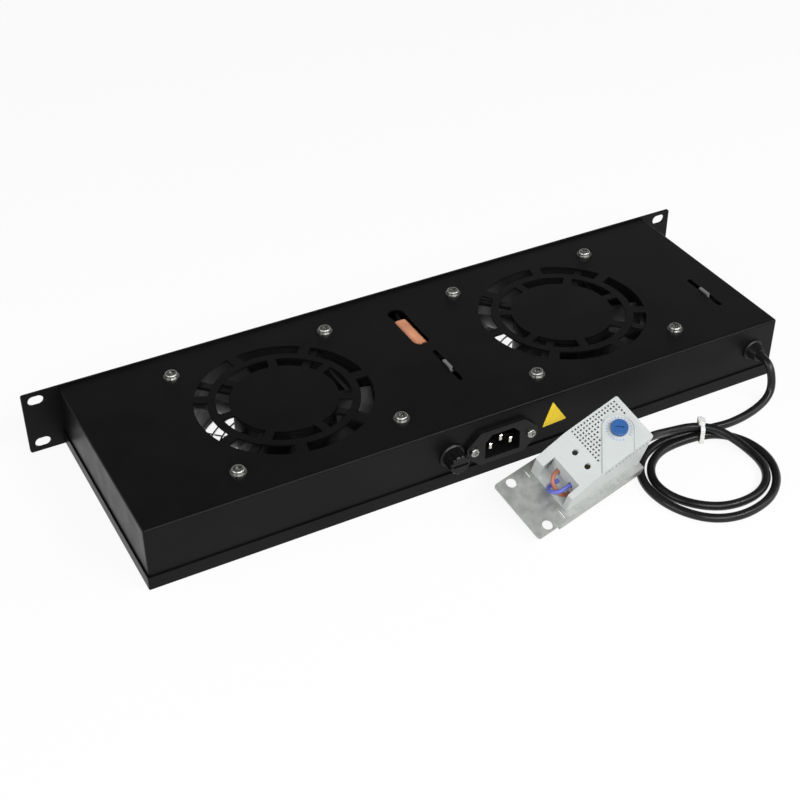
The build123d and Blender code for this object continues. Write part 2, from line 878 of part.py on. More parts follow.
def fuse_cap():
    y0 = box_depth + fuse_rim + cap_gap
    knob = rod(fuse_x, fuse_z, y0, y0 + cap_height, cap_radius)
    knob = chamfer(knob.edges().sort_by(Axis.Y)[-1], 0.8)
    for index in range(cap_flutes):
        angle = math.radians(index * 360 / cap_flutes)
        x = fuse_x + cap_radius * math.cos(angle)
        z = fuse_z + cap_radius * math.sin(angle)
        knob -= rod(x, z, y0 + 1.5, y0 + cap_height + 1, cap_flute_radius)
    end = y0 + cap_height
    knob -= block(fuse_x - cap_radius * 0.75, fuse_x + cap_radius * 0.75, end - cap_slot_depth, end + 1,
                  fuse_z - cap_slot_width / 2, fuse_z + cap_slot_width / 2)
    stem = rod(fuse_x, fuse_z, y0 - cap_stem_length, y0, cap_stem_radius)
    cap = knob + stem
    seat_end = fuse_front() + fuse_play
    return cap - rod(fuse_x, fuse_z, y0 - cap_stem_length - 1, seat_end, fuse_radius + fuse_play)


# Cord, coil, tie and bushing

def cord_bushing():
    """Strain relief through the rear wall, tapering to the cord's size."""
    wall = box_depth
    inner = rear_inner - bushing_inner
    tip = wall + bushing_rim + bushing_tail
    body = rod(bushing_x, bushing_z, inner, wall, bushing_neck_radius)
    rim = rod(bushing_x, bushing_z, wall, wall + bushing_rim, bushing_rim_radius)
    rim = chamfer(rim.edges().sort_by(Axis.Y)[-1], 0.7)
    taper = Cone(bushing_neck_radius - 0.3, bushing_tail_radius, bushing_tail)
    tail = Pos(bushing_x, (wall + bushing_rim + tip) / 2, bushing_z) * Rot(-90, 0, 0) * taper
    return body + rim + tail


def tie_place():
    """The tie's frame: x along the coil's radius, y along its turns."""
    return Pos(coil_x, coil_y, floor_z) * Rot(0, 0, tie_angle)


def cord_tie():
    middle = (tie_inner_reach + tie_outer_reach) / 2
    width = tie_outer_reach - tie_inner_reach
    outline = Plane.XZ * RectangleRounded(width, tie_height, 2.2)
    window = Plane.XZ * RectangleRounded(width - 2 * tie_strap, tie_height - 2 * tie_strap, 0.3)
    strap = extrude(outline - window, tie_width / 2, both=True)
    strap = Pos(middle, 0, tie_height / 2) * strap
    head = block(middle - tie_head / 2, middle + tie_head / 2, -tie_head / 2, tie_head / 2,
                 tie_height - tie_strap, tie_height + 2)
    head = fillet(head.edges().filter_by(Axis.Z), 0.6)
    return tie_place() * (strap + head)


def cord_coil():
    """Outer form of the two loose turns."""
    ring = post(coil_x, coil_y, floor_z, floor_z + coil_height, coil_outer_radius)
    ring = chamfer(ring.edges(), coil_edge)
    return ring - post(coil_x, coil_y, floor_z - 1, floor_z + coil_height + 1, coil_inner_radius)


def cord_lead():
    return tube("cord_lead", lead_points, cord_diameter)


def cord_tail():
    return tube("cord_tail", tail_points, cord_diameter)


# Leads inside the box

def web_tie(x, y, diameter):
    """A small tie over the web between two slits, round the lead that crosses under it."""
    inner_low = roof_under - diameter - grip_play
    inner_half = slit_web / 2 + web_tie_play
    half = inner_half + tie_strap
    wide = web_tie_width / 2
    outer = block(x - wide, x + wide, y - half, y + half, inner_low - tie_strap, roof_top + tie_strap)
    return outer - block(x - 2 * wide, x + 2 * wide, y - inner_half, y + inner_half, inner_low, roof_top)


def web_ties():
    middle = web_tie(centre_tie_x, centre_tie_y, supply_lead_diameter)
    return group([middle, web_tie(side_tie_x, side_tie_y, cord_diameter)])


def splice_sleeve():
    """Insulating sleeve over the joined leads, close under the window."""
    top = roof_under - sleeve_gap
    half_w = sleeve_width / 2
    half_l = sleeve_length / 2
    sleeve = block(window_x - half_w, window_x + half_w, sleeve_centre_y - half_l, sleeve_centre_y + half_l,
                   top - sleeve_height, top)
    return fillet(sleeve.edges().filter_by(Axis.Y), 3.4)


def sleeve_middle():
    return roof_under - sleeve_gap - sleeve_height / 2


def fan_lead(side):
    """Two-core lead from a fan's inner corner to the front end of the splice."""
    z = sleeve_middle()
    edge = fan_centre_x - fan_size / 2
    end_y = sleeve_centre_y - sleeve_length / 2
    points = [
        (side * edge, 17.0, z), (window_x + side * 27.0, 12.6, z - 0.4),
        (window_x + side * 13.6, 11.6, z - 0.6), (window_x + side * 4.4, 18.4, z - 0.3),
        (window_x + side * 2.4, 25.0, z), (window_x + side * 2.4, end_y, z),
    ]
    return tube("fan_lead", points, fan_lead_diameter)


def supply_lead():
    """From the inlet, across under the web of the middle slits, to the splice."""
    z = sleeve_middle()
    back = box_depth - inlet_body_depth - pin_tab
    low_x, low_z = pin_places()[0]
    high = roof_under - grip_play / 2 - supply_lead_diameter / 2
    end_y = sleeve_centre_y + sleeve_length / 2
    points = [
        (low_x, back, low_z), (low_x, 119.0, low_z), (-15.4, 110.0, 3.2), (-14.2, 101.8, 11.0),
        (-10.5, 95.8, high - 1.0), (-2.0, 90.9, high), (2.0, 83.5, high - 0.6), (2.2, 74.5, high - 1.6),
        (0.4, 67.0, z), (0.4, end_y, z),
    ]
    return tube("supply_lead", points, supply_lead_diameter)


def cord_inner():
    """The cord's own end inside the box: tied under the side slits, then to the splice."""
    high = roof_under - grip_play / 2 - cord_diameter / 2
    end_y = sleeve_centre_y + sleeve_length / 2
    z = sleeve_middle()
    points = [
        (bushing_x, rear_inner - bushing_inner, bushing_z), (bushing_x, 135.0, bushing_z),
        (-208.4, 121.5, 6.8), (-209.0, 109.8, 12.4), (-199.0, 100.0, high), (-184.0, 100.2, high),
        (-173.4, 110.5, 13.0),
        (-173.0, 123.0, 9.5), (-166.5, 134.5, 7.2), (-154.0, 140.8, 6.4), (-130.0, 141.6, 6.4),
        (-105.0, 141.2, 6.2), (-80.0, 141.6, 6.4), (-58.0, 141.0, 6.6), (-44.0, 139.5, 7.2),
        (-33.0, 131.0, 8.8), (-27.0, 118.0, 11.0), (-22.5, 104.0, 13.4), (-16.0, 91.0, 14.8),
        (-8.6, 79.5, z), (-4.7, 69.0, z), (-4.7, end_y, z),
    ]
    return tube("cord_inner", points, cord_diameter)


def fuse_lead():
    back = box_depth - inlet_body_depth - pin_tab
    x, z = pin_places()[2]
    tab_end = box_depth - fuse_barrel_length - fuse_tab_length
    points = [
        (x, back, z), (x, 108.0, z), (6.2, 99.8, -2.0), (17.4, 99.8, -0.8), (fuse_x, 107.0, fuse_z),
        (fuse_x, tab_end, fuse_z),
    ]
    return tube("fuse_lead", points, core_diameter)


def earth_lead():
    back = box_depth - inlet_body_depth - pin_tab
    x, z = pin_places()[1]
    screw_end = box_depth - earth_screw_length
    points = [
        (x, back, z), (x, 119.0, z), (-7.4, 110.0, -3.8), (-1.6, 102.8, -10.6), (8.0, 99.8, -14.4),
        (16.0, 104.0, -15.6), (19.2, 112.6, -15.6), (19.6, 122.6, -14.0), (earth_x, 132.6, earth_z),
        (earth_x, screw_end, earth_z),
    ]
    return tube("earth_lead", points, core_diameter)


# Thermostat and its bracket, drawn in the thermostat's own frame

def thermo_place():
    place = Pos(thermo_x, thermo_y, thermo_z) * Rot(0, 0, thermo_yaw)
    return place * Rot(0, thermo_pitch, 0) * Rot(thermo_roll, 0, 0)


def rail_bracket():
    """Plate with turned-down flanges, slit at the tab, and a window for the rail clip."""
    half = bracket_width / 2
    plate = block(bracket_start, bracket_end, -half, half, -bracket_sheet, 0)
    tab_edges = plate.edges().filter_by(Axis.Z).group_by(Axis.X)[-1]
    plate = fillet(tab_edges, bracket_tab_corner)
    for a in (-1, 1):
        y0, y1 = sorted((a * half, a * (half - bracket_sheet)))
        plate += block(bracket_start, bracket_flange_end, y0, y1, -bracket_drop, 0)
        relief_x = bracket_flange_end - bracket_relief_back
        y0, y1 = sorted((a * (half - bracket_sheet - 0.6), a * (half - bracket_relief_depth)))
        plate -= block(relief_x - bracket_relief, relief_x, y0, y1, -bracket_sheet - 1, 1)
        hole_x = bracket_end - bracket_hole_edge
        plate -= post(hole_x, a * bracket_hole_span / 2, -bracket_sheet - 1, 1, bracket_hole_radius)
    window = rail_window_width / 2
    plate -= block(rail_window_start, rail_window_end, -window, window, -bracket_sheet - 1, 1)
    return plate


def thermostat_base():
    """Lower half of the housing, with the clip that grips the bracket's window."""
    half = thermo_width / 2
    base = block(0, thermo_length, -half, half, 0, thermo_base_height)
    base = fillet(base.edges().filter_by(Axis.Z), thermo_corner)
    window = rail_window_width / 2 - rail_play
    x0 = rail_window_start + rail_play
    x1 = rail_window_end - rail_play
    base += block(x0, x1, -window, window, -bracket_sheet - rail_play, 0)
    hook_z = -bracket_sheet - rail_play
    base += block(x0 - rail_hook, x1 + rail_hook, -window, window, hook_z - 2.4, hook_z)
    inner = half - thermo_wall
    base -= block(thermo_wall, thermo_length - thermo_wall, -inner, inner, 2, thermo_base_height + 1)
    shelf_x = access_x - clamp_back - 1
    base += block(shelf_x, recess_start, recess_low_y - 1, recess_high_y + 1, 2, clamp_floor)
    base -= block(recess_start, thermo_length + 1, recess_low_y, recess_high_y, 2, thermo_base_height + 1)
    entry = Rot(0, 90, 0) * Cylinder(cord_diameter / 2 + cord_entry_play, 3 * thermo_wall)
    base -= Pos(0, cord_entry_y, cord_entry_z) * entry
    reach = recess_start - shelf_x
    tunnel = Rot(0, 90, 0) * Cylinder(core_diameter / 2 + wire_tunnel_play, reach + 1)
    for y, z in ((brown_y, brown_z), (blue_y, blue_z)):
        base -= Pos(shelf_x + reach / 2, y, z) * tunnel
    return base


def cover_profile(inset):
    """Side outline of the cover, set in by a wall where asked."""
    end = thermo_length - inset
    points = [
        (inset, thermo_base_height), (inset, thermo_high - inset),
        (thermo_knee_x, thermo_knee - inset * 1.05), (end, thermo_low - inset * 0.9),
        (end, thermo_base_height),
    ]
    return Plane.XZ * make_face(Polyline(*points, close=True))


def face_place():
    """Frame on the sloping dial face: x runs down it towards the terminals."""
    return Pos(0, 0, thermo_high) * Rot(0, face_tilt, 0)


def arch_outline(radius):
    """Arch round the dial, its legs running aslant to the near edge."""
    legs = 2 * thermo_width
    shape = Circle(radius) + Pos(legs / 2, 0) * Rectangle(legs, 2 * radius)
    return Pos(dial_x, dial_y) * Rot(0, 0, arch_angle) * shape


def inside_arch(x, y):
    """Whether a vent would meet the arch."""
    angle = math.radians(arch_angle)
    along = (x - dial_x) * math.cos(angle) + (y - dial_y) * math.sin(angle)
    across = (y - dial_y) * math.cos(angle) - (x - dial_x) * math.sin(angle)
    reach = arch_radius + vent_size
    if along > 0:
        return abs(across) < reach
    return math.hypot(along, across) < reach


def vent_places():
    """Grid of small vents on the far part of the face, clear of the arch."""
    places = []
    half = thermo_width / 2
    angle = math.radians(arch_angle)
    columns = int((vent_end_x - vent_margin) / vent_pitch) + 1
    rows = int((thermo_width - 2 * vent_margin) / vent_pitch) + 1
    for i in range(columns):
        for j in range(rows):
            x = vent_end_x - i * vent_pitch
            y = -half + vent_margin + j * vent_pitch
            across = (y - dial_y) * math.cos(angle) - (x - dial_x) * math.sin(angle)
            far_side = across < 0 or y < -half / 4
            if far_side and x > vent_margin and not inside_arch(x, y):
                places.append((x, y))
    return places


def thermostat_cover():
    """Upper half of the housing: sloping face, arch panel, vents and terminal mouth."""
    half = thermo_width / 2
    cover = extrude(cover_profile(0), half, both=True)
    upright = cover.edges().filter_by(Axis.Z)
    cover = fillet(upright, thermo_corner)
    cover -= extrude(cover_profile(thermo_wall), half - thermo_wall, both=True)
    wall = block(recess_start - recess_wall, recess_start, recess_low_y, recess_high_y,
                 thermo_base_height, thermo_high)
    cover += wall & extrude(cover_profile(0), half, both=True)
    face = face_place()
    arch = extrude(arch_outline(arch_radius), arch_height)
    pocket = Pos(0, 0, arch_height / 2) * extrude(arch_outline(arch_radius - arch_ridge), arch_height)
    keep = block(-1, thermo_knee_x - 0.4, -half, half, -1, arch_height + 1)
    cover += face * ((arch - pocket) & keep)
    cover -= face * post(dial_x, dial_y, -2 * thermo_wall, 1, dial_stem_radius + dial_play)
    vent = Box(vent_size, vent_size, 4 * thermo_wall)
    for x, y in vent_places():
        cover -= face * Pos(x, y, 0) * vent
    for index in range(side_vent_count):
        x = side_vent_start + index * side_vent_pitch
        z = thermo_high - x * math.tan(math.radians(face_tilt)) - side_vent_drop
        cover -= block(x, x + side_vent_width, half - 2 * thermo_wall, half + 1, z, z + side_vent_height)
    cover -= block(recess_start, thermo_length + 1, recess_low_y, recess_high_y, clamp_floor, thermo_high)
    entry = Rot(0, 90, 0) * Cylinder(entry_radius, 3 * recess_wall)
    for y in (terminal_low_y, terminal_high_y):
        cover -= post(access_x, y, thermo_base_height, thermo_high, access_radius)
        cover -= Pos(recess_start - recess_wall / 2, y, entry_z) * entry
    return cover


def dial_knob():
    """Round knob with a screwdriver groove, on a stem through the face."""
    seat = arch_height / 2 + dial_gap
    top = seat + dial_height
    knob = post(0, 0, seat, top, dial_radius)
    knob = fillet(knob.edges().sort_by(Axis.Z)[-1], 0.5)
    groove = Box(dial_groove_length, dial_groove, dial_height)
    knob -= Pos(0, 0, top) * Rot(0, 0, dial_groove_angle) * groove
    stem = post(0, 0, seat - dial_stem_length, seat, dial_stem_radius)
    return face_place() * Pos(dial_x, dial_y, 0) * (knob + stem)


def terminal_clamps():
    """Two metal cages on the base, with a wire hole in the end of each."""
    clamps = []
    start = access_x - clamp_back
    half = clamp_width / 2
    bore = Rot(0, 90, 0) * Cylinder(clamp_bore, clamp_end - start + 1)
    for y in (terminal_low_y, terminal_high_y):
        cage = block(start, clamp_end, y - half, y + half, clamp_floor, clamp_floor + clamp_height)
        clamps.append(cage - Pos((start + clamp_end) / 2, y, entry_z) * bore)
    return group(clamps)


def terminal_screws():
    screws = []
    seat = clamp_floor + clamp_height
    top = seat + clamp_screw_height
    for y in (terminal_low_y, terminal_high_y):
        screw = post(access_x, y, seat, top, clamp_screw_radius)
        screws.append(screw - Pos(access_x, y, top) * Box(2 * clamp_screw_radius + 1, 0.8, 1.8))
    return group(screws)


def bimetal_strip():
    """The strip that bends with warmth, on a post in the base."""
    half = bimetal_width / 2
    x0 = bimetal_start
    top = thermo_base_height
    leaf = block(x0, x0 + bimetal_length, -half, half, top, top + bimetal_sheet)
    return leaf + block(x0, x0 + bimetal_post, -half, half, 2, top)


def wire_brown():
    """From the cord's end through the base, out into the recess and back up to a terminal."""
    y = cord_entry_y + wire_offset
    z = cord_entry_z + wire_offset
    points = [
        (wire_start_x, y, z), (16.0, y, z), (30.0, brown_y, brown_z), (59.0, brown_y, brown_z),
        (59.0, terminal_low_y, entry_z), (wire_stop_x, terminal_low_y, entry_z),
    ]
    return tube("wire_brown", points, core_diameter)


def wire_blue():
    y = cord_entry_y - wire_offset
    z = cord_entry_z - wire_offset
    points = [
        (wire_start_x, y, z), (15.0, y, z), (27.0, 2.2, blue_z), (38.0, blue_y, blue_z),
        (62.6, blue_y, blue_z), (62.6, terminal_high_y, entry_z), (wire_stop_x, terminal_high_y, entry_z),
    ]
    return tube("wire_blue", points, core_diameter)


def collect():
    parts["front_panel"] = front_panel()
    parts["top_shell"] = top_shell()
    parts["bottom_lid"] = bottom_lid()
    parts["lid_screws"] = lid_screws()
    parts["lid_nuts"] = lid_nuts()
    for name, side in fan_sides.items():
        parts["fan_frame_" + name] = fan_frame(side)
        parts["fan_bearings_" + name] = fan_bearings(side)
        parts["motor_stator_" + name] = motor_stator(side)
        parts["impeller_" + name] = impeller(side)
        parts["fan_shaft_" + name] = fan_shaft(side)
        parts["finger_guard_" + name] = finger_guard(side)
        parts["fan_lead_" + name] = fan_lead(side)
    parts["fan_screws"] = at_fan_corners(fan_screw())
    parts["fan_washers"] = at_fan_corners(fan_washer())
    parts["fan_nuts"] = at_fan_corners(fan_nut())
    parts["guard_screws"] = at_fan_corners(guard_screw())
    parts["inlet_housing"] = inlet_housing()
    parts["inlet_pins"] = inlet_pins()
    parts["inlet_screws"] = inlet_screws()
    parts["inlet_nuts"] = inlet_nuts()
    parts["earth_screw"] = earth_screw()
    parts["earth_nut"] = earth_nut()
    parts["fuse_holder"] = fuse_holder()
    parts["fuse_nut"] = fuse_nut()
    parts["fuse_contact"] = fuse_contact()
    parts["fuse_link"] = fuse_link()
    parts["fuse_cap"] = fuse_cap()
    parts["cord_bushing"] = cord_bushing()
    parts["cord_lead"] = cord_lead()
    parts["cord_coil"] = cord_coil()
    parts["cord_tail"] = cord_tail()
    parts["cord_tie"] = cord_tie()
    parts["cord_inner"] = cord_inner()
    parts["web_ties"] = web_ties()
    parts["splice_sleeve"] = splice_sleeve()
    parts["supply_lead"] = supply_lead()
    parts["fuse_lead"] = fuse_lead()
    parts["earth_lead"] = earth_lead()
    thermostat = {
        "rail_bracket": rail_bracket(), "thermostat_base": thermostat_base(),
        "thermostat_cover": thermostat_cover(), "dial_knob": dial_knob(),
        "terminal_clamps": terminal_clamps(), "terminal_screws": terminal_screws(),
        "bimetal_strip": bimetal_strip(), "wire_brown": wire_brown(), "wire_blue": wire_blue(),
    }
    for name, piece in thermostat.items():
        parts[name] = thermo_place() * piece


collect()
os.makedirs("parts", exist_ok=True)
for name, piece in parts.items():
    export_step(piece, "parts/" + name + ".step")
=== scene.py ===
import math

import bmesh
import bpy
from mathutils import Matrix, Vector


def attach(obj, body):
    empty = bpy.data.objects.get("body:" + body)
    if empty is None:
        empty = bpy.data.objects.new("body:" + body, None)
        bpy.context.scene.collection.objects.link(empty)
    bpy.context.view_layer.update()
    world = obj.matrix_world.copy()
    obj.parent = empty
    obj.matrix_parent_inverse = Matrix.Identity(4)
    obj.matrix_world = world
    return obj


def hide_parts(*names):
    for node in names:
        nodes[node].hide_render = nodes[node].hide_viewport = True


# A rack fan tray seen from behind, with its thermostat lying on a coiled lead.
# Metres, in the frame of the CAD: the origin is the centre of the rack slots,
# +X along the panel, +Y back into the rack, +Z up.

MM = 0.001
FLOOR = -0.0221  # a tenth of a millimetre under the part, so the two don't share a plane

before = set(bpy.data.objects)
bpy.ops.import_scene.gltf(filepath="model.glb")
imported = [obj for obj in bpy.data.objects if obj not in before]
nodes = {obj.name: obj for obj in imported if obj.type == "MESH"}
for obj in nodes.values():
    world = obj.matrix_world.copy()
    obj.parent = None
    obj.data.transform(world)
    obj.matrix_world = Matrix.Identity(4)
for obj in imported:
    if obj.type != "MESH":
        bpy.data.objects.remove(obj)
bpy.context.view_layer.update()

# Camera

VIEW_POINT = Vector((0.37502, 0.74340, 0.55675))
VIEW_RIGHT = Vector((-0.88244, 0.47041, -0.00296))
VIEW_DOWN = Vector((0.28387, 0.52748, -0.80074))
VIEW_AHEAD = Vector((-0.37511, -0.70745, -0.59901))
VIEW_LENS = 66.60


def place_camera():
    data = bpy.data.cameras.new("camera")
    data.lens = VIEW_LENS
    data.sensor_width = 36.0
    data.clip_start = 0.01
    camera = bpy.data.objects.new("camera", data)
    bpy.context.collection.objects.link(camera)
    turn = Matrix((VIEW_RIGHT, -VIEW_DOWN, -VIEW_AHEAD)).transposed().to_4x4()
    camera.matrix_world = Matrix.Translation(VIEW_POINT) @ turn
    bpy.context.scene.camera = camera


place_camera()

# Cord: out of the bushing, down to the floor, twice round and on to the thermostat

CORD_DIAMETER = 0.0054
CORD_ROUTE = [
    (-0.2005, 0.1576, 0.0030), (-0.2005, 0.1616, 0.0030), (-0.2005, 0.1656, 0.0022),
    (-0.2005, 0.1688, -0.0004), (-0.2004, 0.1710, -0.0046), (-0.2000, 0.1728, -0.0098),
    (-0.1984, 0.1744, -0.0144), (-0.1938, 0.1764, -0.0178), (-0.1868, 0.1788, -0.0190),
    (-0.1784, 0.1812, -0.0193), (-0.1684, 0.1832, -0.0193), (-0.1570, 0.1842, -0.0191),
    (-0.1460, 0.1836, -0.0184), (-0.1362, 0.1820, -0.0181), (-0.1280, 0.1806, -0.0186),
    (-0.1200, 0.1792, -0.0193), (-0.1100, 0.1790, -0.0193), (-0.1005, 0.1810, -0.0193),
    (-0.0915, 0.1852, -0.0193), (-0.0840, 0.1916, -0.0193), (-0.0784, 0.2000, -0.0193),
    (-0.0754, 0.2100, -0.0193), (-0.0752, 0.2205, -0.0193), (-0.0774, 0.2310, -0.0193),
    (-0.0824, 0.2414, -0.0193), (-0.0900, 0.2504, -0.0193), (-0.0998, 0.2560, -0.0193),
    (-0.1110, 0.2582, -0.0193), (-0.1225, 0.2572, -0.0193), (-0.1334, 0.2540, -0.0193),
    (-0.1436, 0.2476, -0.0193), (-0.1518, 0.2386, -0.0193), (-0.1570, 0.2276, -0.0193),
    (-0.1586, 0.2160, -0.0193), (-0.1566, 0.2048, -0.0193), (-0.1510, 0.1952, -0.0193),
    (-0.1436, 0.1894, -0.0188), (-0.1335, 0.1870, -0.0181), (-0.1240, 0.1854, -0.0186),
    (-0.1140, 0.1848, -0.0193), (-0.1045, 0.1862, -0.0193), (-0.0956, 0.1902, -0.0193),
    (-0.0882, 0.1966, -0.0193), (-0.0832, 0.2050, -0.0193), (-0.0814, 0.2144, -0.0193),
    (-0.0830, 0.2242, -0.0193), (-0.0882, 0.2336, -0.0193), (-0.0962, 0.2416, -0.0193),
    (-0.1060, 0.2470, -0.0193), (-0.1174, 0.2488, -0.0193), (-0.1290, 0.2476, -0.0193),
    (-0.1398, 0.2426, -0.0193), (-0.1478, 0.2340, -0.0193), (-0.1518, 0.2230, -0.0193),
    (-0.1516, 0.2114, -0.0186), (-0.1480, 0.2006, -0.0160), (-0.1422, 0.1914, -0.0131),
    (-0.1349, 0.1845, -0.0129), (-0.1270, 0.1819, -0.0124), (-0.1186, 0.1822, -0.0108),
    (-0.1104, 0.1848, -0.0074), (-0.1028, 0.1884, -0.0032), (-0.0952, 0.1920, 0.0010),
    (-0.0874, 0.1949, 0.0042), (-0.0794, 0.1967, 0.0051), (-0.0735, 0.1976, 0.0043),
    (-0.0682, 0.1986, 0.0035),
]


def make_cord():
    curve = bpy.data.curves.new("mains_lead", "CURVE")
    curve.dimensions = "3D"
    spline = curve.splines.new("NURBS")
    spline.points.add(len(CORD_ROUTE) - 1)
    # The thickness is on the points, because a curve's bounds reach out by their radius.
    for point, place in zip(spline.points, CORD_ROUTE):
        point.co = (*place, 1.0)
        point.radius = CORD_DIAMETER / 2
    spline.order_u = 3
    spline.use_endpoint_u = True
    spline.resolution_u = 6
    curve.bevel_depth = 1.0
    curve.bevel_resolution = 5
    curve.use_fill_caps = True
    lead = bpy.data.objects.new("mains_lead", curve)
    bpy.context.collection.objects.link(lead)
    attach(lead, "tray")
    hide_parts("cord_lead", "cord_coil", "cord_tail")
    return lead


# Materials

class Finish:
    """A material built from a Principled shader, with noise in object space."""

    def __init__(self, name, color, rough, metal=0.0, specular=0.5):
        self.material = bpy.data.materials.new(name)
        self.material.use_nodes = True
        self.tree = self.material.node_tree
        self.tree.nodes.clear()
        self.shader = self.node("ShaderNodeBsdfPrincipled")
        self.shader.inputs["Base Color"].default_value = (*color, 1.0)
        self.shader.inputs["Roughness"].default_value = rough
        self.shader.inputs["Metallic"].default_value = metal
        self.shader.inputs["Specular IOR Level"].default_value = specular
        out = self.node("ShaderNodeOutputMaterial")
        self.join(self.shader.outputs[0], out.inputs["Surface"])
        self.where = self.node("ShaderNodeTexCoord").outputs["Object"]
        self.color = color

    def node(self, kind, **values):
        made = self.tree.nodes.new(kind)
        for name, value in values.items():
            setattr(made, name, value)
        return made

    def join(self, a, b):
        self.tree.links.new(a, b)

    def noise(self, scale, detail=4.0, stretch=None):
        made = self.node("ShaderNodeTexNoise")
        made.inputs["Scale"].default_value = scale
        made.inputs["Detail"].default_value = detail
        source = self.where
        if stretch:
            mapping = self.node("ShaderNodeMapping")
            mapping.inputs["Scale"].default_value = stretch
            self.join(source, mapping.inputs["Vector"])
            source = mapping.outputs[0]
        self.join(source, made.inputs["Vector"])
        return made.outputs["Fac"]

    def cells(self, scale):
        made = self.node("ShaderNodeTexVoronoi", feature="F1")
        made.inputs["Scale"].default_value = scale
        self.join(self.where, made.inputs["Vector"])
        return made

    def spread(self, fac, low, high):
        """Fac from about its middle half to the range from low to high."""
        made = self.node("ShaderNodeMapRange")
        made.inputs["From Min"].default_value = 0.3
        made.inputs["From Max"].default_value = 0.7
        made.inputs["To Min"].default_value = low
        made.inputs["To Max"].default_value = high
        self.join(fac, made.inputs["Value"])
        return made.outputs[0]

    def tones(self, fac, darker, lighter):
        """Colour moves between two tones of the base with fac."""
        ramp = self.node("ShaderNodeMix", data_type="RGBA")
        ramp.inputs["A"].default_value = (*[c * darker for c in self.color], 1.0)
        ramp.inputs["B"].default_value = (*[min(1.0, c * lighter) for c in self.color], 1.0)
        self.join(self.spread(fac, 0.0, 1.0), ramp.inputs["Factor"])
        self.join(ramp.outputs["Result"], self.shader.inputs["Base Color"])

    def polish(self, fac, low, high):
        self.join(self.spread(fac, low, high), self.shader.inputs["Roughness"])

    def bumps(self, *pairs):
        """Bump from heights, each given with its depth in millimetres."""
        normal = None
        for fac, depth in pairs:
            bump = self.node("ShaderNodeBump")
            bump.inputs["Strength"].default_value = 1.0
            bump.inputs["Distance"].default_value = depth * MM
            self.join(fac, bump.inputs["Height"])
            if normal:
                self.join(normal, bump.inputs["Normal"])
            normal = bump.outputs[0]
        self.join(normal, self.shader.inputs["Normal"])


def powder_coat():
    f = Finish("black_powder_coat", (0.0034, 0.0034, 0.0037), 0.38, specular=0.11)
    f.tones(f.noise(22, 6), 0.8, 1.25)
    f.polish(f.noise(60, 5), 0.33, 0.42)
    f.bumps((f.noise(950, 2), 0.02), (f.noise(180, 3), 0.03))
    return f.material


def fan_plastic():
    f = Finish("fan_black", (0.005, 0.005, 0.0055), 0.4, specular=0.2)
    f.tones(f.noise(45), 0.75, 1.3)
    f.polish(f.noise(120), 0.32, 0.48)
    f.bumps((f.noise(1400, 2), 0.015))
    return f.material


def zinc():
    f = Finish("zinc_plate", (0.36, 0.36, 0.345), 0.3, metal=1.0)
    f.tones(f.noise(420, 5), 0.72, 1.2)
    f.polish(f.noise(300, 4), 0.22, 0.42)
    f.bumps((f.noise(1600, 3), 0.02))
    return f.material


def bright_wire():
    f = Finish("bright_wire", (0.6, 0.6, 0.6), 0.16, metal=1.0)
    f.tones(f.noise(90), 0.85, 1.15)
    f.polish(f.noise(260), 0.1, 0.26)
    f.bumps((f.noise(900, 2), 0.01))
    return f.material


def core_steel():
    f = Finish("laminated_core", (0.2, 0.2, 0.21), 0.45, metal=0.8)
    f.tones(f.noise(200, 3, (1, 1, 14)), 0.6, 1.3)
    f.polish(f.noise(300), 0.35, 0.6)
    return f.material


def socket_plastic():
    f = Finish("socket_black", (0.005, 0.005, 0.005), 0.33, specular=0.2)
    f.tones(f.noise(80), 0.8, 1.3)
    f.polish(f.noise(240), 0.26, 0.42)
    f.bumps((f.noise(1800, 2), 0.01))
    return f.material


def nickel():
    f = Finish("nickel_plate", (0.66, 0.63, 0.56), 0.24, metal=1.0)
    f.tones(f.noise(500), 0.85, 1.1)
    f.polish(f.noise(700), 0.18, 0.32)
    return f.material


def sheath():
    f = Finish("cord_sheath", (0.006, 0.0058, 0.0063), 0.3, specular=0.28)
    f.tones(f.noise(70, 5), 0.75, 1.4)
    f.polish(f.noise(160, 4), 0.25, 0.38)
    f.bumps((f.noise(420, 3), 0.04), (f.noise(1500, 2), 0.01))
    return f.material


def nylon():
    f = Finish("white_nylon", (0.72, 0.72, 0.7), 0.35)
    f.tones(f.noise(300), 0.94, 1.05)
    f.shader.inputs["Subsurface Weight"].default_value = 0.15
    f.shader.inputs["Subsurface Scale"].default_value = 0.001
    f.polish(f.noise(500), 0.28, 0.42)
    return f.material


# A grey copy of the white nylon for the web ties: painted shade, darker than the white tie they
# really are.
def shaded_nylon():
    f = Finish("shaded_nylon", (0.15, 0.15, 0.155), 0.42)
    f.tones(f.noise(300), 0.9, 1.1)
    f.polish(f.noise(500), 0.36, 0.5)
    return f.material


def salmon_sleeve():
    f = Finish("salmon_sleeve", (0.62, 0.27, 0.15), 0.42)
    f.tones(f.noise(110, 4, (1, 0.4, 1)), 0.75, 1.25)
    f.polish(f.noise(300), 0.36, 0.5)
    f.bumps((f.noise(260, 3, (1, 0.3, 1)), 0.08))
    return f.material


def grey_plastic():
    f = Finish("light_grey_plastic", (0.47, 0.495, 0.485), 0.5)
    f.tones(f.noise(35, 4), 0.96, 1.03)
    f.polish(f.noise(420, 3), 0.44, 0.58)
    f.bumps((f.noise(2200, 2), 0.012))
    return f.material


def galvanised():
    f = Finish("galvanised_sheet", (0.4, 0.41, 0.395), 0.47, metal=0.7)
    spangle = f.cells(380)
    shade = f.node("ShaderNodeRGBToBW")
    f.join(spangle.outputs["Color"], shade.inputs[0])
    f.tones(shade.outputs[0], 0.92, 1.06)
    f.polish(f.noise(130, 4), 0.38, 0.52)
    f.bumps((f.noise(900, 3), 0.015))
    return f.material


